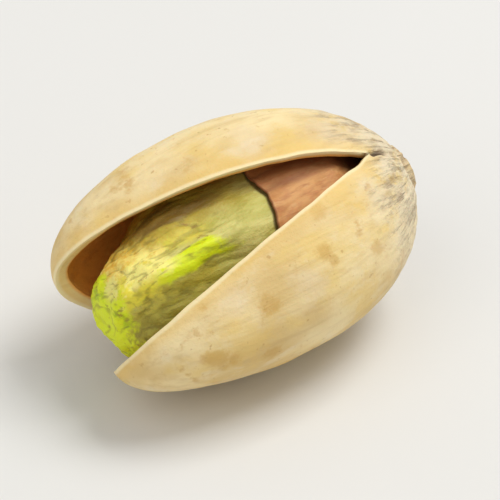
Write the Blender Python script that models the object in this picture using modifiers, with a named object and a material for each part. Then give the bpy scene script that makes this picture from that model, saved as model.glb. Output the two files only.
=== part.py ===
"""A pistachio in its split shell, for Blender 4.5: the shell, the kernel and the torn seed coat.

The nut is shaped in its own frame: +X runs from the split tip to the stem end, +Z points to the
seam that gapes (the mouth), and the two halves of the shell lie on either side of the plane
Y = 0. An empty then lays the nut down the way that it rests on a table, on a small flat spot,
with the origin under the middle of the whole nut and the mouth tipped towards -Y.
"""

from math import atan2, cos, exp, pi, radians, sin, sqrt

import bmesh
import bpy
from mathutils import Matrix, Vector

MM = 0.001

# Shell, closed
LENGTH = 21.5 * MM
HALF_THICKNESS = 6.6 * MM  # seam plane to the face of either half
MOUTH_HEIGHT = 5.4 * MM  # long axis to the seam, on the mouth side
BACK_HEIGHT = 6.4 * MM  # long axis to the seam, on the closed side
TAPER = 0.19  # how much fuller the stem end is, and the tip slimmer, than an ellipsoid
WALL = 0.85 * MM
LIP_ROUNDING = 0.2 * MM

# The split, which runs from the mouth's corner over the tip to the back
MOUTH_END = 7.6 * MM  # X where it ends on the mouth side
BACK_END = -3.55 * MM  # X where it ends on the back
OPENING = 0.355  # how far either half stands out, for each unit of distance from the hinge line
LIP_BEND = (0 * MM, 0.5 * MM)  # between which distances from the hinge line the lips bend outwards
FACE_BEND = (-5 * MM, 7 * MM)  # the same in the middle of either half
CRACK_HALF_WIDTH = 0.14 * MM

# The scar where the nut hung
SCAR_RADIUS = 1.5 * MM
SCAR_TAPER = 0.85  # radius of its end face, as a share of the radius of its root
SCAR_ROOT = 0.55 * MM  # how deep it starts, inside the wall
SCAR_HEIGHT = 0.3 * MM

# Kernel
KERNEL_TIP = -9.8 * MM
KERNEL_STEM_END = 8.3 * MM
KERNEL_HALF_THICKNESS = 4.8 * MM
KERNEL_MOUTH_HEIGHT = 4.25 * MM
KERNEL_BACK_HEIGHT = 4.35 * MM
KERNEL_LIFT = 0.05 * MM
KERNEL_BLUNTNESS = 3.4  # 2 is an ellipsoid, and more is squarer at the ends
KERNEL_NARROWING = 0.01  # how much wider the tip is than the middle, and the stem end narrower
KERNEL_BACK_TAPER = 0.25  # how much lower the tip is than the stem end, on the back
KERNEL_SLANT = 0.42  # how much narrower the tip is towards +Y than towards -Y
SLANT_START = -3.5 * MM  # X from which that narrowing sets in
SLANT_LENGTH = 5.0 * MM
KEEL_HEIGHT = 0.4 * MM
KEEL_HALF_WIDTH = 1.3 * MM
KEEL_OFFSET = -0.8 * MM
KEEL_END = 3.5 * MM  # X where it has faded out, under the seed coat

# Seed coat, the papery skin left on the stem end of the kernel
COAT_EDGE = 0.65 * MM
COAT_RAGGEDNESS = 0.5 * MM
COAT_THICKNESS = 0.15 * MM
COAT_GAP = 0.06 * MM
COAT_EDGE_MARGIN = 0.4 * MM  # rings of faces closer than this to the edge are drawn out to it

# How the nut lies
MOUTH_TILT = radians(22)
STEM_LIFT = radians(4.5)
FLAT_SPOT_DEPTH = 0.2 * MM
CUTTER_SIZE = 40 * MM

SHELL_SEGMENTS, SHELL_RINGS = 56, 20
SCAR_SEGMENTS = 20
KERNEL_SEGMENTS, KERNEL_RINGS = 28, 22
ON_SEAM = 1e-6


def clear_scene():
    for obj in list(bpy.data.objects):
        bpy.data.objects.remove(obj)


def new_collection(name):
    collection = bpy.data.collections.new(name)
    bpy.context.scene.collection.children.link(collection)
    return collection


def principled(name, colour, roughness):
    material = bpy.data.materials.new(name)
    material.use_nodes = True
    shader = material.node_tree.nodes["Principled BSDF"]
    shader.inputs["Base Color"].default_value = (*colour, 1)
    shader.inputs["Roughness"].default_value = roughness
    shader.inputs["Metallic"].default_value = 0
    return material


def unit_sphere(segments, rings, pole_axis):
    """A sphere with its poles on the X axis, or on the Y axis and its equator along the seam."""
    mesh = bmesh.new()
    turn = Matrix.Rotation(pi / 2, 4, "Y" if pole_axis == "X" else "X")
    bmesh.ops.create_uvsphere(mesh, u_segments=segments, v_segments=rings, radius=1, matrix=turn)
    return mesh


def smooth(t):
    t = max(0.0, min(1.0, t))
    return t * t * (3 - 2 * t)


def bent_away(distance, bend):
    """How far something stands off that bends evenly from bend[0] to bend[1], then runs straight."""
    start, end = bend
    bent = max(0.0, min(end, distance) - start)
    return bent * bent / (2 * (end - start)) + max(0.0, distance - end)


def fullness(x):
    return 1 + TAPER * x


def closed_shell_point(unit):
    """A point of the unit sphere, moved to the outside of the closed shell."""
    height = MOUTH_HEIGHT if unit.z > 0 else BACK_HEIGHT
    return Vector((
        unit.x * LENGTH / 2,
        unit.y * HALF_THICKNESS * fullness(unit.x),
        unit.z * height * fullness(unit.x),
    ))


def seam_point(x, side):
    """The seam at x, on the mouth side (side 1) or on the back (side -1)."""
    along = x / (LENGTH / 2)
    return closed_shell_point(Vector((along, 0, side * sqrt(1 - along * along))))


def parting(unit):
    """How far the halves have moved off the seam plane here: the lips only beyond the hinge line."""
    mouth, back = seam_point(MOUTH_END, 1), seam_point(BACK_END, -1)
    hinge = (mouth - back).normalized()
    towards_tip = Vector((-hinge.z, 0, hinge.x))
    distance = (closed_shell_point(unit) - mouth).dot(towards_tip)
    lip, face = bent_away(distance, LIP_BEND), bent_away(distance, FACE_BEND)
    return OPENING * (lip + (face - lip) * abs(unit.y))


def is_split(edge):
    """Is this edge of the sphere on the seam, and short of both ends of the split?"""
    for vert in edge.verts:
        end = MOUTH_END if vert.co.z > 0 else BACK_END
        if abs(vert.co.y) > ON_SEAM or vert.co.x * LENGTH / 2 > end + CRACK_HALF_WIDTH:
            return False
    return True


def half_of(vert):
    """1 on the +Y half of the shell, -1 on the -Y half and 0 on a seam that hasn't split."""
    if abs(vert.co.y) > ON_SEAM:
        return 1 if vert.co.y > 0 else -1
    middle = sum(face.calc_center_median().y for face in vert.link_faces)
    return 0 if abs(middle) < ON_SEAM else (1 if middle > 0 else -1)


def finish(mesh, name, material, collection, parent):
    for face in mesh.faces:
        face.smooth = True
    data = bpy.data.meshes.new(name)
    mesh.to_mesh(data)
    mesh.free()
    data.materials.append(material)
    obj = bpy.data.objects.new(name, data)
    collection.objects.link(obj)
    obj.parent = parent
    return obj


def give_wall(obj, thickness):
    wall = obj.modifiers.new("wall", "SOLIDIFY")
    wall.thickness = thickness
    wall.offset = -1


def make_scar(collection, parent):
    """The low round plug at the stem end, which is joined to the shell."""
    mesh = bmesh.new()
    length = SCAR_ROOT + SCAR_HEIGHT
    middle = LENGTH / 2 + SCAR_HEIGHT - length / 2
    place = Matrix.Translation((middle, 0, 0)) @ Matrix.Rotation(pi / 2, 4, "Y")
    bmesh.ops.create_cone(
        mesh, cap_ends=True, segments=SCAR_SEGMENTS, depth=length, matrix=place,
        radius1=SCAR_RADIUS, radius2=SCAR_RADIUS * SCAR_TAPER,
    )
    data = bpy.data.meshes.new("scar_plug")
    mesh.to_mesh(data)
    mesh.free()
    plug = bpy.data.objects.new("scar_plug", data)
    plug.hide_render = True
    plug.display_type = "WIRE"
    collection.objects.link(plug)
    plug.parent = parent
    return plug


def make_shell(collection, cutters, parent):
    """One woody shell, split along its seam over the tip and still whole at the stem end."""
    mesh = unit_sphere(SHELL_SEGMENTS, SHELL_RINGS, "Y")
    bmesh.ops.split_edges(mesh, edges=[edge for edge in mesh.edges if is_split(edge)])
    halves = {vert: half_of(vert) for vert in mesh.verts}
    for vert, half in halves.items():
        aside = parting(vert.co) + (CRACK_HALF_WIDTH if vert.is_boundary else 0)
        vert.co = closed_shell_point(vert.co)
        vert.co.y += half * aside
    bmesh.ops.recalc_face_normals(mesh, faces=mesh.faces)
    woody = principled("shell_beige", (0.78, 0.62, 0.38), 0.55)
    shell = finish(mesh, "shell", woody, collection, parent)
    give_wall(shell, WALL)
    lips = shell.modifiers.new("rounded lips", "BEVEL")
    lips.width = LIP_ROUNDING
    lips.segments = 2
    lips.limit_method = "ANGLE"
    lips.angle_limit = radians(60)
    scar = shell.modifiers.new("scar", "BOOLEAN")
    scar.operation = "UNION"
    scar.object = make_scar(cutters, parent)
    return shell


def kernel_point(unit):
    """A point of the unit sphere, moved to the surface of the kernel."""
    middle, half = (KERNEL_TIP + KERNEL_STEM_END) / 2, (KERNEL_STEM_END - KERNEL_TIP) / 2
    along = middle + unit.x * half
    ring = sqrt(max(1 - unit.x * unit.x, 0))
    if ring < ON_SEAM:
        across = up = 0
    else:
        radius = (1 - abs(unit.x) ** KERNEL_BLUNTNESS) ** (1 / KERNEL_BLUNTNESS)
        radius *= 1 - KERNEL_NARROWING * unit.x
        height = KERNEL_MOUTH_HEIGHT
        if unit.z < 0:
            height = KERNEL_BACK_HEIGHT * (1 + KERNEL_BACK_TAPER * unit.x)
        across = unit.y / ring * radius * KERNEL_HALF_THICKNESS
        if across > 0:
            across *= 1 - KERNEL_SLANT * smooth((SLANT_START - along) / SLANT_LENGTH)
        up = unit.z / ring * radius * height
        if up > 0:
            from_keel = (across - KEEL_OFFSET) / KEEL_HALF_WIDTH
            fading = smooth(up / height) * smooth((KEEL_END - along) / KEEL_END)
            up += KEEL_HEIGHT * exp(-from_keel * from_keel) * fading
    return Vector((along, across, up + KERNEL_LIFT))


def shape_kernel(mesh):
    for vert in mesh.verts:
        vert.co = kernel_point(vert.co)
    bmesh.ops.recalc_face_normals(mesh, faces=mesh.faces)


def make_kernel(collection, parent):
    """The seed, one blunt-ended body with a low keel towards the mouth."""
    mesh = unit_sphere(KERNEL_SEGMENTS, KERNEL_RINGS, "X")
    shape_kernel(mesh)
    green = principled("kernel_green", (0.45, 0.5, 0.08), 0.5)
    return finish(mesh, "kernel", green, collection, parent)


def coat_edge_at(unit):
    """X of the coat's torn edge at this place round the kernel, in three unequal waves."""
    angle = atan2(unit.y, unit.z)
    waves = 0.95 * sin(2 * angle) + 0.3 * sin(5 * angle + 2) + 0.1 * cos(9 * angle)
    return COAT_EDGE + COAT_RAGGEDNESS * waves


def slide_to_edge(unit):
    """A point of the unit sphere, moved along its meridian to the torn edge."""
    middle, half = (KERNEL_TIP + KERNEL_STEM_END) / 2, (KERNEL_STEM_END - KERNEL_TIP) / 2
    x = (coat_edge_at(unit) - middle) / half
    shrink = sqrt(1 - x * x) / sqrt(1 - unit.x * unit.x)
    return Vector((x, unit.y * shrink, unit.z * shrink))


def make_seed_coat(collection, parent):
    """The thin skin that still caps the stem end of the kernel, torn off in front of the mouth."""
    mesh = unit_sphere(KERNEL_SEGMENTS, KERNEL_RINGS, "X")
    bare = []
    for vert in mesh.verts:
        past_edge = kernel_point(vert.co).x - coat_edge_at(vert.co)
        if past_edge < -COAT_EDGE_MARGIN:
            bare.append(vert)
    bmesh.ops.delete(mesh, geom=bare, context="VERTS")
    for vert in mesh.verts:
        if vert.is_boundary:
            vert.co = slide_to_edge(vert.co)
    shape_kernel(mesh)
    mesh.normal_update()
    for vert in mesh.verts:
        vert.co += vert.normal * (COAT_GAP + COAT_THICKNESS)
    brown = principled("seed_coat_brown", (0.62, 0.34, 0.2), 0.6)
    coat = finish(mesh, "seed_coat", brown, collection, parent)
    give_wall(coat, COAT_THICKNESS)
    return coat


def world_bounds(obj):
    """Lowest and highest corner of the object as its modifiers leave it."""
    bpy.context.view_layer.update()
    shown = obj.evaluated_get(bpy.context.evaluated_depsgraph_get())
    points = [shown.matrix_world @ vert.co for vert in shown.data.vertices]
    low = Vector(min(p[axis] for p in points) for axis in range(3))
    high = Vector(max(p[axis] for p in points) for axis in range(3))
    return low, high


def lay_down(nut, shell):
    """Moves the nut so that the origin is under its middle, with the flat spot's depth below it."""
    low, high = world_bounds(shell)
    nut.location = (-(low.x + high.x) / 2, -(low.y + high.y) / 2, -low.z - FLAT_SPOT_DEPTH)


def cut_flat_spot(shell, collection):
    """Takes the underside off level, where the shell is worn flat and the nut rests."""
    bpy.ops.mesh.primitive_cube_add(size=CUTTER_SIZE, location=(0, 0, -CUTTER_SIZE / 2))
    table = bpy.context.object
    table.name = "table_cutter"
    table.hide_render = True
    table.display_type = "WIRE"
    for holder in list(table.users_collection):
        holder.objects.unlink(table)
    collection.objects.link(table)
    spot = shell.modifiers.new("flat spot", "BOOLEAN")
    spot.operation = "DIFFERENCE"
    spot.object = table


def main():
    clear_scene()
    parts = new_collection("pistachio")
    cutters = new_collection("cutters")
    nut = bpy.data.objects.new("nut", None)
    parts.objects.link(nut)
    nut.rotation_euler = (MOUTH_TILT, -STEM_LIFT, 0)
    shell = make_shell(parts, cutters, nut)
    make_kernel(parts, nut)
    make_seed_coat(parts, nut)
    lay_down(nut, shell)
    cut_flat_spot(shell, cutters)


main()
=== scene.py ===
"""The looks of a pistachio in its split shell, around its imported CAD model.

Three pieces stand for the three of the CAD model: the woody shell, the kernel and the papery skin
on it. Each is shaped in the nut's own frame, in millimetres: +X runs from the split tip to the
stem end, +Z points to the mouth, and the halves of the shell lie on either side of Y = 0. It is
then laid down in the way that the nut rests on the floor.
"""

from math import cos, pi, radians, sin, sqrt

import bmesh
import bpy
import numpy as np
from mathutils import Euler, Matrix, Vector, kdtree, noise

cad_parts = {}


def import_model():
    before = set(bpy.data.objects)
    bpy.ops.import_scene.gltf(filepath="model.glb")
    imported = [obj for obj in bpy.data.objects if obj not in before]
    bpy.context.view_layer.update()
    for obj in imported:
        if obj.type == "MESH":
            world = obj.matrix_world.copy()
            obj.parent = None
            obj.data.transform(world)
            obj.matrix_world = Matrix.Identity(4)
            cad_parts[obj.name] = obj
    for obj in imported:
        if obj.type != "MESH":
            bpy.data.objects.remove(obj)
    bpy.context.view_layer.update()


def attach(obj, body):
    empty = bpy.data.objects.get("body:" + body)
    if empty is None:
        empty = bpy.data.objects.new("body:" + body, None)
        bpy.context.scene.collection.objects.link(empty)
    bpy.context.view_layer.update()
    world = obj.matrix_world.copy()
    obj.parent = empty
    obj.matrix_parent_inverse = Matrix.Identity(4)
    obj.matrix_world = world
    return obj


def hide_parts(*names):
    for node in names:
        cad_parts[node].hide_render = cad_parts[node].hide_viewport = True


MM = 0.001

# How the nut lies
NUT_TURN = Euler((radians(22), radians(-4.5), 0))
NUT_PLACE = Vector((-0.1698, 0.2453, 6.2069)) * MM

# Shell, in millimetres, as its CAD solid has it
LENGTH = 21.5
HALF_THICKNESS = 6.6
MOUTH_HEIGHT = 5.4
BACK_HEIGHT = 6.4
TAPER = 0.19  # how much fuller the stem end is, and how much slimmer the tip
WALL = 0.85
MOUTH_END = 7.6  # X of the mouth's corner
BACK_END = -3.55  # X where the split ends on the back
OPENING = 0.355  # sideways shift of either half, per millimetre beyond the hinge
LIP_BEND = (0, 0.5)  # distances beyond the hinge at which the lips start and end their bend away
FACE_BEND = (-5, 7)  # the same for the flanks
CRACK_HALF_WIDTH = 0.14
SCAR_RADIUS = 1.5
SCAR_HEIGHT = 0.3

# What only the visible shell has, and its mesh
LIP_THINNING = 0.45  # share of the wall that the lips lose along the mouth
LIP_REACH = 1.6  # how far from the lips the wall is thinner
LIP_ROUNDING = 0.17
SHELL_MESH = (264, 140)  # segments and rings of the sphere that it starts from
SEAM_GATHER = 0.55  # how close the rings lie at the seam, as a share of their even spacing
ON_SEAM = 1e-5  # points nearer than this to the seam plane are on it

# Kernel and skin, in millimetres
KERNEL_TIP = -9.8
KERNEL_STEM_END = 8.3
KERNEL_HALF_THICKNESS = 4.8
KERNEL_MOUTH_HEIGHT = 4.25
KERNEL_BACK_HEIGHT = 4.35
KERNEL_BACK_TAPER = 0.25
KERNEL_LIFT = 0.05
KERNEL_BLUNTNESS = 3.4
KERNEL_NARROWING = 0.01
KERNEL_SLANT = 0.42  # how much narrower the tip is towards +Y than towards -Y
SLANT_START = -3.5
SLANT_LENGTH = 5.0
KEEL_HEIGHT = 0.4
KEEL_HALF_WIDTH = 1.3
KEEL_OFFSET = -0.8
KEEL_END = 3.5
HOLLOW = 0.9  # how far the kernel and its skin fall away below the mouth's corner
HOLLOW_HALF_WIDTH = 2.6
HOLLOW_SPAN = (5.4, 7.4)
KERNEL_MESH = (200, 132)
SKIN_MESH = (224, 120)
SKIN_EDGE = 0.65  # X of the torn edge, before its waves
SKIN_THICKNESS = 0.12
SKIN_GAP = 0.07

# Depths of the shell's relief, in millimetres
SHELL_LUMPS = 0.09
SHELL_BUMPS = 0.022
SHELL_STREAKS = 0.012
STEM_FURROWS = 0.075
STEM_WRINKLES = 0.05
SCAR_INSET = 0.02
SCAR_ROUGHNESS = 0.07
SCAR_PIT = 0.16
SCAR_GROOVE = 0.14
FRONT_SEAM = 0.1
BACK_SEAM = 0.07
CRACK_DEPTH = 0.3
LIP_WAVE_OUT = 0.07
LIP_WAVE_UP = 0.05

# Depths of the kernel's relief, in millimetres
KERNEL_LUMPS = 0.14
LUMP_SIZE = 2.8
KERNEL_BUMPS = 0.05
KERNEL_WRINKLES = 0.11
KEEL_RIDGE = 0.28
KEEL_FAR_FOOT = 0.2
KEEL_NEAR_FOOT = 0.32
TIP_LUMPS = 0.16

# Where the camera stands, and what it looks at
VIEW_AZIMUTH = -33.4
VIEW_ELEVATION = 39.5
VIEW_DISTANCE = 0.3
VIEW_LENS = 380
AIM = Vector((0, 0, 6.0)) * MM

# Patches of colour, each a place in the nut's own frame and a radius
STAINS = (
    ((-2.7, -5.4, 4.2), 0.65), ((-3.2, -5.7, 3.7), 0.4), ((1.6, -4.4, 4.9), 0.45),
    ((2.0, -4.9, 4.5), 0.3), ((-6.3, -6.4, 2.3), 0.8), ((-5.4, -6.6, 2.2), 0.45),
    ((-3.1, -7.2, 1.7), 0.6), ((2.5, -2.3, 5.4), 0.5), ((5.0, -5.1, 3.5), 0.5),
    ((-5.0, 5.6, 3.0), 0.7), ((1.0, 6.7, -1.0), 0.8), ((-2.0, 2.0, -6.3), 0.6),
)
YELLOW_PATCHES = (
    ((4.5, -2.0, 5.2), 1.3), ((7.0, -0.8, 4.4), 0.7), ((-0.9, 2.9, 5.3), 1.8),
    ((3.5, 2.6, 5.0), 1.2), ((-4.5, -6.4, 3.0), 1.8), ((3.5, -6.0, 1.5), 1.6),
    ((-2.0, 6.6, 1.0), 2.2), ((3.0, 1.0, -6.6), 2.0),
)
PALE_PATCHES = (
    ((1.8, 3.4, 5.2), 1.3), ((6.3, 2.2, 4.5), 1.4), ((-4.3, -4.5, 4.4), 0.9),
    ((0.2, -5.6, 4.2), 1.1), ((-7.5, -5.4, 1.6), 0.8), ((-4.0, 6.2, -2.0), 1.6),
    ((4.0, -4.5, -5.0), 1.5),
)
YELLOW_BUMP = (((-8.2, -0.7, 3.5), 1.2),)  # on the kernel


# ---------------------------------------------------------------- working on a piece


def pick_only(piece):
    bpy.ops.object.select_all(action="DESELECT")
    piece.select_set(True)
    bpy.context.view_layer.objects.active = piece


def round_start(name, segments, rings, pole_axis):
    """A unit sphere to start a piece from, with its poles on the X or on the Y axis."""
    bpy.ops.object.select_all(action="DESELECT")
    bpy.ops.mesh.primitive_uv_sphere_add(segments=segments, ring_count=rings, radius=1)
    piece = bpy.context.object
    piece.name = name
    piece.data.name = name
    bpy.ops.object.mode_set(mode="EDIT")
    bpy.ops.mesh.select_all(action="SELECT")
    turned_about = "Y" if pole_axis == "X" else "X"
    bpy.ops.transform.rotate(value=pi / 2, orient_axis=turned_about, center_override=(0, 0, 0))
    bpy.ops.object.mode_set(mode="OBJECT")
    return piece


def points_of(piece):
    points = np.empty(len(piece.data.vertices) * 3)
    piece.data.vertices.foreach_get("co", points)
    return points.reshape(-1, 3)


def normals_of(piece):
    normals = np.empty(len(piece.data.vertices) * 3)
    piece.data.vertex_normals.foreach_get("vector", normals)
    return normals.reshape(-1, 3)


def move_points(piece, points):
    piece.data.vertices.foreach_set("co", points.ravel())
    piece.data.update()


def edge_ends(piece):
    ends = np.empty(len(piece.data.edges) * 2, dtype=int)
    piece.data.edges.foreach_get("vertices", ends)
    return ends.reshape(-1, 2)


def select_edges(piece, chosen):
    """Leaves just these edges selected, ready for edit mode."""
    bpy.context.tool_settings.mesh_select_mode = (False, True, False)
    piece.data.vertices.foreach_set("select", np.zeros(len(piece.data.vertices), dtype=bool))
    piece.data.polygons.foreach_set("select", np.zeros(len(piece.data.polygons), dtype=bool))
    piece.data.edges.foreach_set("select", chosen)


def select_points(piece, chosen):
    bpy.context.tool_settings.mesh_select_mode = (True, False, False)
    piece.data.polygons.foreach_set("select", np.zeros(len(piece.data.polygons), dtype=bool))
    piece.data.edges.foreach_set("select", np.zeros(len(piece.data.edges), dtype=bool))
    piece.data.vertices.foreach_set("select", chosen)


def borders_and_sides(piece):
    """For each point: is it on an open edge, and on which side of Y = 0 do its faces lie."""
    mesh = bmesh.new()
    mesh.from_mesh(piece.data)
    open_edge = np.array([vert.is_boundary for vert in mesh.verts])
    middles = {face: face.calc_center_median().y for face in mesh.faces}
    leaning = np.array([sum(middles[face] for face in vert.link_faces) for vert in mesh.verts])
    mesh.free()
    return open_edge, np.where(np.abs(leaning) < ON_SEAM, 0, np.sign(leaning))


def apply_modifiers(piece):
    pick_only(piece)
    for modifier in list(piece.modifiers):
        bpy.ops.object.modifier_apply(modifier=modifier.name)


def weights_of(piece, group_name):
    index = piece.vertex_groups[group_name].index
    return np.array([
        sum(entry.weight for entry in vert.groups if entry.group == index)
        for vert in piece.data.vertices
    ])


def keep_field(piece, name, values):
    """Stores a number at each point, for the piece's material to read."""
    attribute = piece.data.attributes.new(name, "FLOAT", "POINT")
    attribute.data.foreach_set("value", np.asarray(values, dtype=np.float32))


def lay_down(piece):
    """Takes the piece to where the nut lies, and flattens what would sink into the floor."""
    place = Matrix.Translation(NUT_PLACE) @ NUT_TURN.to_matrix().to_4x4() @ Matrix.Scale(MM, 4)
    piece.data.transform(place)
    points = points_of(piece)
    points[:, 2] = np.maximum(points[:, 2], 0)
    move_points(piece, points)
    pick_only(piece)
    bpy.ops.object.shade_smooth()


# ---------------------------------------------------------------- shapes and fields


def ease(values, low, high):
    """0 up to low, 1 from high, and a smooth step between. low may be the larger."""
    t = np.clip((values - low) / (high - low), 0, 1)
    return t * t * (3 - 2 * t)


def bell(values, width):
    return np.exp(-((values / width) ** 2))


def grain(points, sizes, octaves=3):
    """Fractal noise, about -1 to 1, whose features have these sizes along each axis."""
    scaled = points / np.broadcast_to(np.array(sizes, dtype=float), (3,))
    return np.array([noise.fractal(Vector(p), 1.0, 2.0, octaves) for p in scaled])


def ridges(points, sizes, octaves=3):
    """The same, folded into thin raised lines: 1 on a line and about 0 between."""
    return 1 - np.clip(2.5 * np.abs(grain(points, sizes, octaves)), 0, 1)


def round_stem(points, across, along):
    """Points in which noise runs in lines that meet at the stem end, as its fibres do."""
    ring = np.maximum(np.hypot(points[:, 1], points[:, 2]), 1e-6)
    return np.stack([
        points[:, 0] / along,
        points[:, 1] / ring / across,
        points[:, 2] / ring / across,
    ], 1)


def closed_shell(unit):
    """Points of the shell before it splits, from those of a unit sphere."""
    height = np.where(unit[:, 2] > 0, MOUTH_HEIGHT, BACK_HEIGHT)
    full = 1 + TAPER * unit[:, 0]
    return np.stack([
        unit[:, 0] * LENGTH / 2,
        unit[:, 1] * HALF_THICKNESS * full,
        unit[:, 2] * height * full,
    ], 1)


def seam_point(x, side):
    """The point of the seam at this X: side is 1 on the mouth and -1 on the back."""
    along = x / (LENGTH / 2)
    return closed_shell(np.array([[along, 0, side * sqrt(1 - along * along)]]))[0]


def bent_away(distance, bend):
    """0 up to the bend's start, then a curve up to its end, and from there as steep as distance."""
    start, end = bend
    bent = np.clip(distance, start, end) - start
    return bent * bent / (2 * (end - start)) + np.maximum(distance - end, 0)


def beyond_hinge(closed):
    """How far these points of the closed shell lie beyond the hinge line, on the side of the tip."""
    mouth, back = seam_point(MOUTH_END, 1), seam_point(BACK_END, -1)
    hinge = (mouth - back) / np.linalg.norm(mouth - back)
    return (closed - mouth) @ np.array([-hinge[2], 0, hinge[0]])


def parting(unit, closed):
    """How far either half has moved off the seam plane at these points of the closed shell."""
    distance = beyond_hinge(closed)
    lip, face = bent_away(distance, LIP_BEND), bent_away(distance, FACE_BEND)
    crack = CRACK_HALF_WIDTH * bell(closed[:, 1], 1) * ease(distance, -0.2, 0.8)
    return OPENING * (lip + (face - lip) * np.abs(unit[:, 1])) + crack


def kernel_surface(unit):
    """Points of the kernel without its relief, from those of a unit sphere."""
    ring = np.maximum(np.hypot(unit[:, 1], unit[:, 2]), 1e-6)
    ends = np.clip(1 - np.abs(unit[:, 0]) ** KERNEL_BLUNTNESS, 0, 1) ** (1 / KERNEL_BLUNTNESS)
    ends *= 1 - KERNEL_NARROWING * unit[:, 0]
    back_height = KERNEL_BACK_HEIGHT * (1 + KERNEL_BACK_TAPER * unit[:, 0])
    height = np.where(unit[:, 2] > 0, KERNEL_MOUTH_HEIGHT, back_height)
    along = (KERNEL_TIP + KERNEL_STEM_END) / 2 + unit[:, 0] * (KERNEL_STEM_END - KERNEL_TIP) / 2
    across = unit[:, 1] / ring * ends * KERNEL_HALF_THICKNESS
    slant = KERNEL_SLANT * ease(along, SLANT_START, SLANT_START - SLANT_LENGTH)
    across *= np.where(across > 0, 1 - slant, 1)
    up = unit[:, 2] / ring * ends * height
    keel = KEEL_HEIGHT * bell(across - KEEL_OFFSET, KEEL_HALF_WIDTH)
    hollow = HOLLOW * bell(across, HOLLOW_HALF_WIDTH) * ease(along, *HOLLOW_SPAN)
    rise = keel * ease(along, KEEL_END, 0) - hollow
    up += np.where(up > 0, rise * ease(up / height, 0, 1), 0)
    return np.stack([along, across, up + KERNEL_LIFT], 1)


# ---------------------------------------------------------------- shell


def gather_rings(shell):
    """Moves the sphere's rings closer together at the seam, where the lips need the finest mesh."""
    unit = points_of(shell)
    out = np.arcsin(np.clip(np.abs(unit[:, 1]), 0, 1)) / (pi / 2)
    out = out * (SEAM_GATHER + (1 - SEAM_GATHER) * out) * pi / 2
    ring = np.maximum(np.hypot(unit[:, 0], unit[:, 2]), 1e-9)
    unit[:, 0] *= np.cos(out) / ring
    unit[:, 2] *= np.cos(out) / ring
    unit[:, 1] = np.sign(unit[:, 1]) * np.sin(out)
    move_points(shell, unit)


def open_seam(shell):
    """Cuts the seam from the mouth's corner over the tip to the back."""
    unit, ends = points_of(shell), edge_ends(shell)
    limit = np.where(unit[:, 2] > 0, MOUTH_END, BACK_END) + CRACK_HALF_WIDTH
    on_split = (np.abs(unit[:, 1]) < ON_SEAM) & (unit[:, 0] * LENGTH / 2 < limit)
    select_edges(shell, on_split[ends].all(axis=1))
    pick_only(shell)
    bpy.ops.object.mode_set(mode="EDIT")
    bpy.ops.mesh.edge_split(type="EDGE")
    bpy.ops.object.mode_set(mode="OBJECT")


def gape(shell):
    """Shapes the sphere into the shell and spreads its halves. Returns where its lips run."""
    open_edge, side = borders_and_sides(shell)
    unit = points_of(shell)
    closed = closed_shell(unit)
    closed[:, 1] += side * parting(unit, closed)
    move_points(shell, closed)
    return closed[open_edge]


def distance_to(points, targets):
    """How far each point is from the nearest target."""
    tree = kdtree.KDTree(len(targets))
    for index, target in enumerate(targets):
        tree.insert(target, index)
    tree.balance()
    return np.array([tree.find(point)[2] for point in points])


def give_wall(piece, thickness):
    wall = piece.modifiers.new("wall", "SOLIDIFY")
    wall.thickness = thickness
    wall.offset = -1
    return wall


def thin_lips(shell, lips):
    """Weighs the wall's thickness: full but for the lips, which are thin along the mouth."""
    points = points_of(shell)
    along_mouth = ease(points[:, 0], -10.2, -7.5) * ease(points[:, 2], -4, 0)
    thinning = LIP_THINNING * bell(distance_to(points, lips), LIP_REACH) * along_mouth
    group = shell.vertex_groups.new(name="thickness")
    for index, share in enumerate(1 - thinning):
        group.add([index], share, "REPLACE")


def make_shell():
    """One woody shell, gaping from its tip and whole at the stem end, and where its lips run."""
    shell = round_start("woody_shell", *SHELL_MESH, "Y")
    gather_rings(shell)
    open_seam(shell)
    lips = gape(shell)
    thin_lips(shell, lips)
    shell.vertex_groups.new(name="inner wall")
    wall = give_wall(shell, WALL)
    wall.vertex_group = "thickness"
    wall.shell_vertex_group = "inner wall"
    rim = shell.modifiers.new("rounded lips", "BEVEL")
    rim.width = LIP_ROUNDING
    rim.segments = 4
    rim.limit_method = "ANGLE"
    rim.angle_limit = radians(60)
    apply_modifiers(shell)
    carve_shell(shell, lips)
    lay_down(shell)
    return shell, lips


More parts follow.
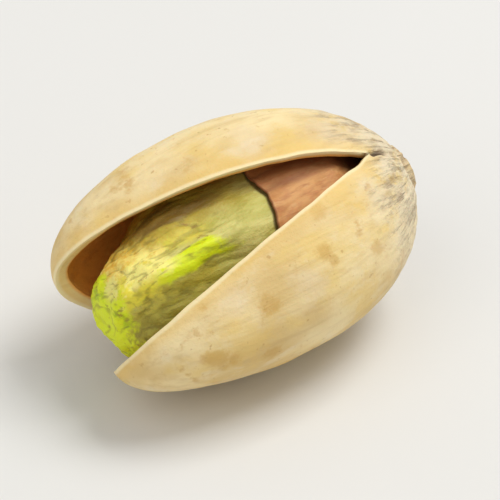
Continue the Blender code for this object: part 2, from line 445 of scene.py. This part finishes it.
def carve_shell(shell, lips):
    """The shell's relief: lumps, the stem end's fibres and wrinkles, the seam and the scar."""
    points, normals = points_of(shell), normals_of(shell)
    x, y, z = points.T
    inner = weights_of(shell, "inner wall")
    outer = 1 - inner
    from_lip = distance_to(points, lips)
    from_axis = np.hypot(y, z)
    towards_stem = ease(x + 0.9 * grain(points, 2.5, 2), 4.5, 9.5)
    fibres = ridges(round_stem(points, 0.16, 5.0), 1, 3)
    scar_edge = SCAR_RADIUS + 0.12 * grain(round_stem(points, 0.6, 50), 1, 2)
    scar = np.where(x > 0, ease(from_axis, scar_edge + 0.25, scar_edge - 0.1), 0)
    round_scar = np.where(x > 8, bell(from_axis - scar_edge - 0.25, 0.22), 0)
    seam_line = 0.1 * grain(points * (1, 0, 1), 0.9, 3)
    seam_width = 0.13 + 0.05 * bell(x - MOUTH_END, 1.5)
    off_seam = y - seam_line * ease(x, MOUTH_END, MOUTH_END + 0.8)
    on_seam = bell(off_seam / seam_width, 1) * (x > -3) * outer
    front_seam = on_seam * ease(z, 0.8, 1.4) * ease(x, MOUTH_END + 0.15, MOUTH_END + 0.3)
    crack = front_seam * ease(x, MOUTH_END + 2.2, MOUTH_END + 1.0)
    back_seam = on_seam * ease(-z, 0.8, 1.4)
    relief = SHELL_LUMPS * grain(points, 5.5, 2)
    relief += SHELL_BUMPS * grain(points, 1.5, 3)
    relief += SHELL_STREAKS * grain(points, (5, 0.8, 0.8), 2)
    relief -= STEM_FURROWS * fibres * towards_stem * (1 - scar)
    relief += STEM_WRINKLES * grain(points, 0.9, 3) * towards_stem
    relief += (SCAR_HEIGHT - SCAR_INSET + SCAR_ROUGHNESS * grain(points, 0.5, 3)) * scar
    relief -= SCAR_PIT * scar * bell(from_axis, 0.45)
    relief -= SCAR_GROOVE * round_scar
    relief -= FRONT_SEAM * front_seam + CRACK_DEPTH * crack
    relief -= BACK_SEAM * back_seam
    points += normals * (relief * outer)[:, None]
    near_lip = bell(from_lip, 1.3)
    points[:, 1] += LIP_WAVE_OUT * near_lip * grain(points, (2.4, 30, 2.4), 2)
    points[:, 2] += LIP_WAVE_UP * near_lip * grain(points + 40, (1.8, 30, 1.8), 2)
    move_points(shell, points)
    keep_field(shell, "inner_wall", inner)
    keep_field(shell, "from_lip", np.minimum(from_lip, 4))
    keep_field(shell, "stem_end", towards_stem)
    keep_field(shell, "scar", scar)
    furrow = fibres * towards_stem * (1 - scar) + round_scar + 0.5 * front_seam + 0.5 * back_seam
    keep_field(shell, "furrow", np.clip(furrow, 0, 1))
    # Where shade is painted: in the crack and on the inner wall in the mouth's corner.
    keep_field(shell, "crack", crack)
    keep_field(shell, "corner", ease(x, 5.6, 7.4) * inner)


# ---------------------------------------------------------------- kernel and skin


def painted_lip_shade(points, lips):
    """1 where the far half's lip hangs close over the surface, where painted shade darkens it."""
    ragged = distance_to(points, lips) + 0.3 * grain(points, (3, 0.8, 0.8), 3)
    return ease(ragged, 1.75, 1.25) * ease(points[:, 1], 0, 0.6)


def carve_kernel(kernel, lips):
    """The kernel's relief: a sharp keel, wrinkles along its length and a lumpy tip."""
    points, normals = points_of(kernel), normals_of(kernel)
    x, y, z = points.T
    bare = ease(x, -0.5, -3.2)
    tip = ease(x, -6.5, -9.0)
    keel_line = KEEL_OFFSET - 0.15 + 0.3 * grain(points * (1, 0, 0), 2.2, 2)
    keel = bell(y - keel_line, 0.5) * ease(z, 0, 2)
    wrinkles = ridges(points + 7, (2.6, 0.75, 0.75), 3)
    relief = KERNEL_LUMPS * grain(points, LUMP_SIZE, 2)
    relief += KERNEL_BUMPS * grain(points, 0.9, 3) * (0.4 + 0.6 * bare)
    relief += KEEL_RIDGE * keel * bare
    relief -= KERNEL_WRINKLES * wrinkles * bare
    relief -= KEEL_FAR_FOOT * bell(y - keel_line - 1.4, 0.8) * ease(z, 0.5, 2.5) * bare
    relief -= KEEL_NEAR_FOOT * bell(y - keel_line + 1.5, 0.9) * ease(z, 0.5, 2.5) * bare
    relief += TIP_LUMPS * grain(points, 1.3, 3) * tip
    points += normals * relief[:, None]
    move_points(kernel, points)
    keep_field(kernel, "keel", keel)
    keep_field(kernel, "from_skin", np.clip(skin_edge_at(points) - x, -1, 4))
    keep_field(kernel, "furrow", wrinkles)
    keep_field(kernel, "painted_lip_shade", painted_lip_shade(points, lips))


def make_kernel(lips):
    """The green kernel, which fills the shell to within a small gap."""
    kernel = round_start("green_kernel", *KERNEL_MESH, "Y")
    move_points(kernel, kernel_surface(points_of(kernel)))
    carve_kernel(kernel, lips)
    lay_down(kernel)
    return kernel


def skin_edge_at(points):
    """X of the skin's torn edge at each point's place round the kernel."""
    angle = np.arctan2(points[:, 1], points[:, 2])
    waves = 0.95 * np.sin(2 * angle) + 0.3 * np.sin(5 * angle + 2) + 0.1 * np.cos(9 * angle)
    around = np.stack([np.cos(angle), np.sin(angle), 0 * angle], 1)
    return SKIN_EDGE + 0.5 * waves + 0.1 * grain(around, 0.16, 3)


def make_skin(lips):
    """The thin skin that still caps the kernel's stem end, with a torn and slightly lifted edge."""
    skin = round_start("papery_skin", *SKIN_MESH, "X")
    select_points(skin, points_of(skin)[:, 0] < -0.01)
    pick_only(skin)
    bpy.ops.object.mode_set(mode="EDIT")
    bpy.ops.mesh.delete(type="VERT")
    bpy.ops.object.mode_set(mode="OBJECT")
    unit = points_of(skin)
    middle, half = (KERNEL_TIP + KERNEL_STEM_END) / 2, (KERNEL_STEM_END - KERNEL_TIP) / 2
    edge = (skin_edge_at(unit) - middle) / half
    start = unit[:, 0].min()
    share = (unit[:, 0] - start) / (1 - start)
    along = edge + share * (0.4 + 0.6 * share) * (1 - edge)
    ring = np.hypot(unit[:, 1], unit[:, 2])
    unit[:, 1:] *= (np.sqrt(np.clip(1 - along**2, 0, 1)) / np.maximum(ring, 1e-6))[:, None]
    unit[:, 0] = along
    from_edge = (along - edge) * half
    points = kernel_surface(unit)
    move_points(skin, points)
    normals = normals_of(skin)
    veins = ridges(points + 3, (3.2, 0.55, 0.55), 3)
    lift = SKIN_GAP + SKIN_THICKNESS + KERNEL_LUMPS * grain(points, LUMP_SIZE, 2)
    lift += 0.06 * bell(from_edge, 0.4) * (1 + grain(points, 1.2, 2))
    lift += 0.02 * veins + 0.025 * grain(points, 0.8, 3)
    move_points(skin, points + normals * lift[:, None])
    keep_field(skin, "painted_lip_shade", painted_lip_shade(points_of(skin), lips))
    keep_field(skin, "from_edge", np.clip(from_edge, 0, 4))
    keep_field(skin, "vein", veins)
    give_wall(skin, SKIN_THICKNESS)
    apply_modifiers(skin)
    lay_down(skin)
    return skin


# ---------------------------------------------------------------- finishes


def paint(red, green, blue):
    """A colour by its screen values, 0 to 255, as the shader wants it."""
    return tuple(
        c / 255 / 12.92 if c < 10.3 else ((c / 255 + 0.055) / 1.055) ** 2.4
        for c in (red, green, blue)
    )


class Value:
    """A shader's socket on which Python's own operators build Math nodes."""

    def __init__(self, finish, socket):
        self.finish = finish
        self.socket = socket

    def maths(self, operation, *terms):
        node = self.finish.node("ShaderNodeMath", {"operation": operation}, dict(enumerate(terms)))
        return Value(self.finish, node.outputs[0])

    def __add__(self, other):
        return self.maths("ADD", self, other)

    def __radd__(self, other):
        return self.maths("ADD", other, self)

    def __sub__(self, other):
        return self.maths("SUBTRACT", self, other)

    def __rsub__(self, other):
        return self.maths("SUBTRACT", other, self)

    def __mul__(self, other):
        return self.maths("MULTIPLY", self, other)

    def __rmul__(self, other):
        return self.maths("MULTIPLY", other, self)

    def __truediv__(self, other):
        return self.maths("DIVIDE", self, other)

    def __pow__(self, other):
        return self.maths("POWER", self, other)


class Finish:
    """A material while it is built, with the patterns that the nut's surfaces share."""

    def __init__(self, name, tones):
        self.tones = {word: paint(*screen_values) for word, screen_values in tones.items()}
        self.colour = None
        self.material = bpy.data.materials.new(name)
        self.material.use_nodes = True
        self.tree = self.material.node_tree
        self.tree.nodes.clear()
        place = self.node("ShaderNodeTexCoord")
        self.where = self.out(self.node(
            "ShaderNodeMapping",
            {"vector_type": "TEXTURE"},
            {
                "Vector": self.out(place, "Object"),
                "Location": NUT_PLACE,
                "Rotation": NUT_TURN,
                "Scale": (MM, MM, MM),
            },
        ))
        parts = self.node("ShaderNodeSeparateXYZ", {}, {0: self.where})
        self.x, self.y, self.z = (self.out(parts, axis) for axis in "XYZ")

    def node(self, kind, settings=None, inputs=None):
        """Adds a node, sets it up and fills its inputs with values or with links."""
        node = self.tree.nodes.new(kind)
        for name, setting in (settings or {}).items():
            setattr(node, name, setting)
        for key, value in (inputs or {}).items():
            socket = node.inputs[key] if isinstance(key, int) else self.input_named(node, key)
            if isinstance(value, Value):
                self.tree.links.new(value.socket, socket)
            elif socket.type == "RGBA" and len(value) == 3:
                socket.default_value = (*value, 1)
            else:
                socket.default_value = value
        return node

    @staticmethod
    def input_named(node, key):
        return next(socket for socket in node.inputs if key in (socket.name, socket.identifier))

    def out(self, node, output=0):
        return Value(self, node.outputs[output])

    def field(self, name):
        """A number that the piece keeps at each of its points."""
        return self.out(self.node("ShaderNodeAttribute", {"attribute_name": name}), "Fac")

    def at(self, sizes, shift=0.0):
        """Where we are, measured in these sizes along each axis, in millimetres."""
        sizes = sizes if isinstance(sizes, tuple) else (sizes, sizes, sizes)
        node = self.node(
            "ShaderNodeVectorMath",
            {"operation": "MULTIPLY_ADD"},
            {0: self.where, 1: tuple(1 / size for size in sizes), 2: (shift, shift, shift)},
        )
        return self.out(node)

    def noise(self, sizes, detail=3.0, roughness=0.55, shift=0.0):
        """Cloudy noise, 0 to 1 with 0.5 in the middle, with features of these sizes."""
        place = self.at(sizes, shift)
        node = self.node(
            "ShaderNodeTexNoise",
            {},
            {"Vector": place, "Scale": 1.0, "Detail": detail, "Roughness": roughness},
        )
        return self.out(node)

    def clouds(self, sizes, low, high, detail=3.0, roughness=0.55, shift=0.0):
        """Patches where that noise is above low: 0 outside them and 1 where it is past high."""
        return self.band(self.noise(sizes, detail, roughness, shift), low, high)

    def fibres(self, across, along, detail=3.0, roughness=0.6):
        """Noise in lines that meet at the stem end. across is in radians, along in millimetres."""
        squares = self.y * self.y + self.z * self.z + 0.01
        ring = squares ** 0.5
        place = self.node("ShaderNodeCombineXYZ", {}, {
            "X": self.x / along, "Y": self.y / ring / across, "Z": self.z / ring / across,
        })
        node = self.node(
            "ShaderNodeTexNoise",
            {},
            {"Vector": self.out(place), "Scale": 1.0, "Detail": detail, "Roughness": roughness},
        )
        return self.out(node)

    def spots(self, places):
        """1 inside any of these round spots, each a centre and a radius, with ragged edges."""
        ragged = self.noise(1.1, 5, 0.7, shift=71) - 0.5
        covered = None
        for centre, radius in places:
            away = self.node(
                "ShaderNodeVectorMath", {"operation": "DISTANCE"}, {0: self.where, 1: centre}
            )
            one = self.band(self.out(away, "Value") / radius + ragged * 3.4, 1.35, 0.35)
            covered = one if covered is None else covered.maths("MAXIMUM", covered, one)
        return covered

    def band(self, value, low, high):
        """0 where value is at low, 1 where it is at high, smooth between and level beyond."""
        node = self.node(
            "ShaderNodeMapRange",
            {"interpolation_type": "SMOOTHSTEP"},
            {"Value": value, "From Min": low, "From Max": high},
        )
        return self.out(node)

    def blend(self, below, above, share):
        """One tone or colour over another, by a share from 0 to 1."""
        below, above = (
            self.tones[colour] if isinstance(colour, str) else colour for colour in (below, above)
        )
        node = self.node(
            "ShaderNodeMix",
            {"data_type": "RGBA"},
            {"A_Color": below, "B_Color": above, "Factor_Float": share},
        )
        return self.out(node, 2)

    def lay(self, tone, share):
        """Lays a tone or colour over all that is there so far."""
        self.colour = self.blend(self.colour, tone, share)

    def close(self, roughness, height, depth, ior, soft=0, soft_depth=0):
        """Ends the material in a Principled shader, with a bump of this depth in millimetres.

        soft is the share of light that scatters below the surface, soft_depth millimetres deep.
        """
        bump = self.node(
            "ShaderNodeBump", {}, {"Height": height, "Distance": depth * MM, "Strength": 1.0}
        )
        shader = self.node(
            "ShaderNodeBsdfPrincipled",
            {},
            {
                "Base Color": self.colour,
                "Roughness": roughness,
                "Normal": self.out(bump),
                "IOR": ior,
                "Subsurface Weight": soft,
                "Subsurface Scale": soft_depth * MM,
            },
        )
        output = self.node("ShaderNodeOutputMaterial")
        self.tree.links.new(shader.outputs[0], output.inputs["Surface"])
        return self.material


SHELL_TONES = {
    "beige": (224, 193, 128),
    "cream": (246, 224, 170),
    "yellow cloud": (236, 202, 112),
    "pale cloud": (240, 224, 188),
    "streak": (200, 164, 102),
    "tan cloud": (198, 148, 62),
    "yellow patch": (238, 200, 102),
    "pale patch": (234, 214, 182),
    "stain": (202, 154, 62),
    "speck": (176, 126, 60),
    "stem end": (234, 219, 186),
    "stem dash": (152, 134, 110),
    "furrow": (146, 116, 84),
    "scar": (214, 184, 134),
    "scar pit": (128, 90, 54),
    "by the lip": (236, 198, 112),
    # the lips' paler colour, partly a painted highlight
    "rim": (252, 234, 184),
    "inside by the lip": (240, 182, 98),
    "inside": (244, 170, 74),
    "inside streak": (190, 112, 42),
    # painted shade in the crack and in the mouth's corner
    "crack": (70, 42, 18),
    "corner": (84, 50, 22),
}


def shell_finish():
    """Dry beige shell: cream and yellow clouds, tan stains, a grey furrowed stem end, brown inside."""
    f = Finish("shell", SHELL_TONES)
    inner, from_lip, stem = f.field("inner_wall"), f.field("from_lip"), f.field("stem_end")
    scar, furrow = f.field("scar"), f.field("furrow")

    f.colour = f.blend("beige", "cream", f.clouds((7, 4, 4), 0.35, 0.62))
    f.lay("yellow cloud", f.clouds((4, 2.6, 2.6), 0.5, 0.7, 4, shift=11) * 0.6)
    f.lay("pale cloud", f.clouds((2.6, 1.5, 1.5), 0.54, 0.7, 4, 0.6, shift=61) * 0.45)
    f.lay("streak", f.clouds((6, 0.5, 0.5), 0.45, 0.75, shift=4) * 0.35)
    tan = f.clouds(1.5, 0.58, 0.72, 4, 0.6, shift=23) * f.clouds(6, 0.38, 0.56, 2, shift=9)
    f.lay("tan cloud", tan * 0.6)
    f.lay("yellow patch", f.spots(YELLOW_PATCHES) * 0.4)
    f.lay("pale patch", f.spots(PALE_PATCHES) * 0.32)
    f.lay("stain", f.spots(STAINS) * 0.5)
    f.lay("speck", f.clouds(0.42, 0.66, 0.76, 2, shift=31) * 0.45)

    f.lay("stem end", stem * f.clouds((3, 1.2, 1.2), 0.3, 0.52, 4, 0.65, shift=17) * 0.9)
    dashes = f.band(f.fibres(0.06, 1.6, 4, 0.65), 0.5, 0.64)
    f.lay("stem dash", stem * dashes * f.clouds(1.5, 0.4, 0.56, 4, 0.65, shift=47) * 0.78)
    f.lay("furrow", furrow * f.clouds(0.8, 0.4, 0.62, shift=3) * 0.6)
    f.lay("scar", scar * 0.8)
    f.lay("scar pit", scar * f.clouds(0.5, 0.52, 0.66, shift=41) * 0.8)

    by_lip = f.band(from_lip + 0.5 * f.noise(1.2, shift=2), 1.5, 0.5)
    f.lay("by the lip", by_lip * 0.5)
    # The lips' rim: partly their paler colour, partly a painted highlight.
    rim = f.band(from_lip, 0.32, 0.12) * f.band(inner, 0.98, 0.7)
    f.lay("rim", rim * 0.8)
    inside = f.blend("inside by the lip", "inside", f.band(from_lip, 0.3, 1.6))
    inside = f.blend(inside, "inside streak", f.clouds((4, 1, 1), 0.5, 0.75, shift=6) * 0.5)
    by_tip = f.band(f.x, -9.0, -7.0)
    f.lay(inside, f.band(inner + 0.22 * by_tip, 0.7, 0.98))
    # Painted shade: dark in the crack and on the inner wall in the mouth's corner.
    f.lay("crack", f.band(f.field("crack"), 0.25, 0.8) * 0.9)
    f.lay("corner", f.field("corner") * 0.8)

    roughness = 0.5 + 0.18 * f.noise(0.8, shift=5) + 0.15 * stem - 0.12 * inner
    height = 0.5 * f.noise(0.28, 4, 0.6) + 0.6 * f.noise((3.0, 0.22, 0.22), shift=8)
    height = height + stem * f.noise(0.35, 4, 0.7, shift=13) * 1.6 - stem * dashes * 0.6
    return f.close(roughness, height, depth=0.07, ior=1.5, soft=0.05, soft_depth=0.6)


KERNEL_TONES = {
    "green": (188, 180, 82),
    "pale green": (218, 208, 124),
    "blotch": (166, 156, 62),
    "yellow": (236, 218, 84),
    "tan": (232, 178, 62),
    "pale tan": (250, 222, 118),
    "ochre top": (168, 142, 32),
    # olive darkened partly as painted shade
    "olive": (198, 182, 66),
    "deep olive and painted shade": (158, 146, 42),
    "olive streak": (124, 110, 22),
    "lime": (224, 236, 14),
    "lime by the tip": (236, 222, 60),
    "tip": (230, 244, 14),
    "green tip": (126, 164, 8),
    "yellow bump": (240, 224, 70),
    # pale patches, partly a painted highlight
    "cream": (255, 242, 140),
    "brown": (146, 100, 36),
    "furrow": (118, 104, 30),
    # painted shadow cast by the skin's lifted edge
    "painted shadow by the skin": (92, 66, 24),
    # painted shade under the far half's lip
    "painted shade under the lip": (96, 62, 14),
}


def kernel_finish():
    """Green kernel: lime on the keel and the tip, olive below, tan above, pale near the skin."""
    f = Finish("kernel", KERNEL_TONES)
    furrow = f.field("furrow")
    ragged = f.noise(1.5, 4, 0.62) - 0.5
    x = f.x + 2.6 * ragged
    y = f.y + 1.5 * (f.noise(1.5, 4, 0.62, shift=6) - 0.5)

    f.colour = f.blend("green", "pale green", f.clouds((4, 1.5, 1.5), 0.35, 0.65, shift=3))
    f.lay("blotch", f.clouds((1.4, 0.6, 0.6), 0.46, 0.66, 4, 0.65, shift=91) * 0.5)
    f.lay("yellow", f.band(y, -0.4, 0.4) * f.band(x, -2.2, -4.4) * 0.8)
    mottle = f.clouds((0.7, 0.4, 0.4), 0.4, 0.62, 4, 0.65, shift=81)
    tan = f.blend("tan", "pale tan", mottle)
    f.lay(tan, f.band(y, -0.1, 0.9) * f.band(x, -4.6, -6.4) * 0.85)
    top = f.band(y, 0.3, 1.4) * f.band(x, 1.0, -1.0) * f.band(f.x, -8.5, -6.0)
    f.lay("ochre top", top * 0.8)

    # The facet below the keel: the kernel's olive colour, deepening downwards partly as painted shade.
    olive = f.band(y, -1.25, -1.75) * f.band(x, -3.0, -4.2)
    f.lay(f.blend("olive", "deep olive and painted shade", f.band(y, -1.4, -2.6)), olive * 0.9)
    streaks = f.clouds((1.2, 0.3, 0.3), 0.47, 0.67, 4, 0.65, shift=5)
    f.lay("olive streak", olive * streaks * 0.55)

    start = x + 0.9 * y + 2.2 * (f.noise(0.7, 4, 0.65, shift=33) - 0.5)
    on_keel = f.band(f.field("keel") + 0.7 * ragged, 0.08, 0.34)
    lime = on_keel * f.band(start, -3.0, -4.2) * f.band(f.z, -0.5, 1.5)
    f.lay("lime", lime * f.band(x, -9.2, -7.8))
    f.lay("lime by the tip", lime * f.band(x, -6.2, -7.8) * 0.9)
    tip = f.band(x, -8.8, -9.35)
    f.lay("tip", tip * 0.95)
    f.lay("green tip", tip * f.clouds(1.3, 0.52, 0.66, 4, 0.6, shift=51) * 0.5)
    f.lay("yellow bump", f.spots(YELLOW_BUMP) * 0.9)

    # Cream patches towards the tip: partly the kernel's pale patches, partly a painted highlight.
    cream = f.clouds((1.7, 1.1, 1.1), 0.44, 0.54, 4, 0.62, shift=15)
    cream = cream * f.band(x, -5.0, -7.0) * f.band(f.x, -9.65, -9.3)
    f.lay("cream", cream * f.band(y, -1.4, -0.7) * f.band(y, 1.4, 0.5) * 0.9)
    brown = f.clouds((1.1, 0.5, 0.5), 0.6, 0.72, 4, 0.65, shift=27)
    f.lay("brown", brown * f.band(f.x, -1.0, -4.0) * 0.7)
    f.lay("furrow", furrow * f.band(furrow, 0.55, 0.95) * f.band(f.x, -1.0, -3.5) * 0.5)
    # Painted shadow: a dark line on the kernel along the skin's lifted edge.
    f.lay("painted shadow by the skin", f.band(f.field("from_skin"), 0.22, 0.04) * 0.85)
    # Painted shade where the far half's lip hangs over the kernel.
    f.lay("painted shade under the lip", f.field("painted_lip_shade") * 0.8)

    roughness = 0.4 + 0.28 * f.noise(0.7, shift=9)
    height = 0.8 * f.noise((0.9, 0.25, 0.25), 4, 0.65, shift=12) + 0.5 * f.noise(0.2, 3, 0.6)
    return f.close(roughness, height, depth=0.08, ior=1.46, soft=0.1, soft_depth=0.8)


SKIN_TONES = {
    "tan": (186, 124, 66),
    "pale tan": (216, 160, 98),
    "streak": (168, 102, 58),
    "vein": (190, 122, 74),
    "pale streak": (228, 186, 128),
    # the edge's own darker colour, partly painted shade
    "torn edge": (128, 78, 40),
    "stem end": (112, 62, 26),
    # painted shade under the far half's lip
    "painted shade under the lip": (110, 54, 22),
}


def skin_finish():
    """Papery skin: pinkish tan with fine veins and streaks, darker at its edge and stem end."""
    f = Finish("seed_coat", SKIN_TONES)
    f.colour = f.blend("tan", "pale tan", f.clouds((2.6, 0.8, 0.8), 0.35, 0.65, 4, 0.6))
    f.lay("streak", f.clouds((2.4, 0.35, 0.35), 0.52, 0.72, 4, 0.6, shift=7) * 0.6)
    f.lay("vein", f.band(f.field("vein"), 0.5, 1.0) * 0.4)
    f.lay("pale streak", f.clouds((1.6, 0.3, 0.3), 0.58, 0.72, 4, 0.6, shift=19) * 0.4)
    # The torn edge: partly its own darker colour, partly painted shade of the lifted edge.
    f.lay("torn edge", f.band(f.field("from_edge"), 0.14, 0.0) * 0.8)
    f.lay("stem end", f.band(f.x, 5.6, 7.2) * 0.8)
    # Painted shade where the far half's lip hangs over the skin.
    f.lay("painted shade under the lip", f.field("painted_lip_shade") * 0.65)
    roughness = 0.52 + 0.2 * f.noise(0.8, shift=9)
    height = 0.6 * f.noise((1.6, 0.25, 0.25), 4, 0.6, shift=2) + 0.3 * f.noise(0.18)
    return f.close(roughness, height, depth=0.05, ior=1.45, soft=0.1, soft_depth=0.6)


def floor_finish():
    f = Finish("floor", {"pale": (229, 228, 225), "warm grey": (225, 224, 220)})
    f.colour = f.blend("pale", "warm grey", f.noise(40, 2))
    return f.close(0.6, f.noise(2.0, 2), depth=0.005, ior=1.45)


# ---------------------------------------------------------------- floor, light and camera


def add_floor():
    bpy.ops.object.select_all(action="DESELECT")
    bpy.ops.mesh.primitive_plane_add(size=3, location=(0, 0, 0))
    floor = bpy.context.object
    floor.name = "floor"
    floor.data.materials.append(floor_finish())


def add_softbox(name, azimuth, elevation, distance, size, watts):
    """A square area light that faces the nut. azimuth is measured as the camera's is."""
    light = bpy.data.lights.new(name, "AREA")
    light.size = size
    light.energy = watts
    lamp = bpy.data.objects.new(name, light)
    bpy.context.scene.collection.objects.link(lamp)
    lamp.location = from_azimuth(azimuth, elevation) * distance
    lamp.rotation_euler = (-lamp.location).to_track_quat("-Z", "Y").to_euler()


def from_azimuth(azimuth, elevation):
    """The direction to a viewer who stands at -Y and walks round by azimuth, towards +X."""
    a, e = radians(azimuth), radians(elevation)
    return Vector((sin(a) * cos(e), -cos(a) * cos(e), sin(e)))


def add_light():
    world = bpy.data.worlds.new("studio")
    world.use_nodes = True
    background = world.node_tree.nodes["Background"]
    background.inputs["Color"].default_value = (1.0, 0.99, 0.97, 1)
    background.inputs["Strength"].default_value = 0.5
    bpy.context.scene.world = world
    add_softbox("key", azimuth=84, elevation=60, distance=0.5, size=0.26, watts=1.6)
    add_softbox("fill", azimuth=-80, elevation=50, distance=0.5, size=0.4, watts=0.4)


def add_camera():
    camera = bpy.data.objects.new("camera", bpy.data.cameras.new("camera"))
    bpy.context.scene.collection.objects.link(camera)
    camera.location = AIM + from_azimuth(VIEW_AZIMUTH, VIEW_ELEVATION) * VIEW_DISTANCE
    camera.rotation_euler = (AIM - camera.location).to_track_quat("-Z", "Y").to_euler()
    camera.data.lens = VIEW_LENS
    camera.data.clip_start = 0.01
    bpy.context.scene.camera = camera


def main():
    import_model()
    shell, lips = make_shell()
    pieces = (
        (shell, "shell", shell_finish()),
        (make_kernel(lips), "kernel", kernel_finish()),
        (make_skin(lips), "seed_coat", skin_finish()),
    )
    for piece, node, material in pieces:
        piece.data.materials.append(material)
        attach(piece, "root")
        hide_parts(node)
    add_floor()
    add_light()
    add_camera()
    bpy.context.scene.view_settings.view_transform = "Standard"


main()
